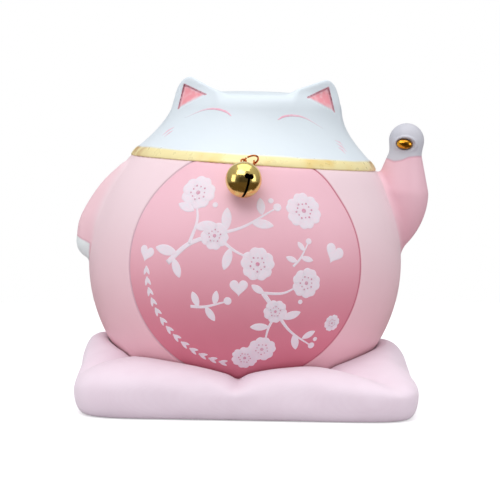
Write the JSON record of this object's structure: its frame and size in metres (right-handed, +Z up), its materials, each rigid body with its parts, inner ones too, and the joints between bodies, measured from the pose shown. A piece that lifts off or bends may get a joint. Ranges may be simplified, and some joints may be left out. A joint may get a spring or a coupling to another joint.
{
  "type": "beckoning cat figurine",
  "caption": "Round cast figurine of a beckoning cat with a raised paw and a bell on its collar, sitting in a stuffed square cushion.",
  "frame": {"origin": "on the floor under the middle of the cushion", "axes": "+Z up, -Y the way the cat faces, +X towards its raised arm"},
  "size_m": [0.137, 0.1256, 0.123],
  "materials": {
    "pink_glaze": "satin glaze",
    "white_glaze": "satin glaze",
    "gold_paint": "pale gold on glaze",
    "gold_bead": "polished",
    "brass": "polished plate",
    "steel_pellet": "plain",
    "cushion_cloth": "smooth pink cloth",
    "stuffing": "loose fibre",
    "thread": "twisted thread"
  },
  "bodies": {
    "cushion": {"cushion_base": "cushion_cloth", "cushion_filling": "stuffing", "cushion_top": "cushion_cloth", "tuft_button": "cushion_cloth", "tuft_thread": "thread"},
    "figure": {"body_casting": "pink_glaze", "head_casting": "white_glaze", "collar_band": "gold_paint", "raised_arm": "pink_glaze", "paw_bead": "gold_bead", "resting_arm": "pink_glaze", "bell_eye_pin": "brass"},
    "ring": {"jump_ring": "brass"},
    "bell": {"bell_crown": "brass", "bell_skirt": "brass", "bell_loop": "brass"},
    "pellet": {"bell_pellet": "steel_pellet"}
  },
  "joints": [
    {"name": "figure_lift", "type": "slide", "parent": "cushion", "child": "figure", "axis": [0, 0, 1], "range_m": [0, 0.07]},
    {"name": "ring_swing", "type": "hinge", "parent": "figure", "child": "ring", "pos_m": [0.00338, -0.0509, 0.09115], "axis": [-1, 0, 0], "range_deg": [0, 90]},
    {"name": "bell_swing", "type": "hinge", "parent": "ring", "child": "bell", "pos_m": [-0.00037, -0.0542, 0.09206], "axis": [0, -0.8572, 0.515], "range_deg": [-28, 28]},
    {"name": "pellet_rattle", "type": "slide", "parent": "bell", "child": "pellet", "axis": [0, 0, 1], "range_m": [0, 0.0078]}
  ]
}
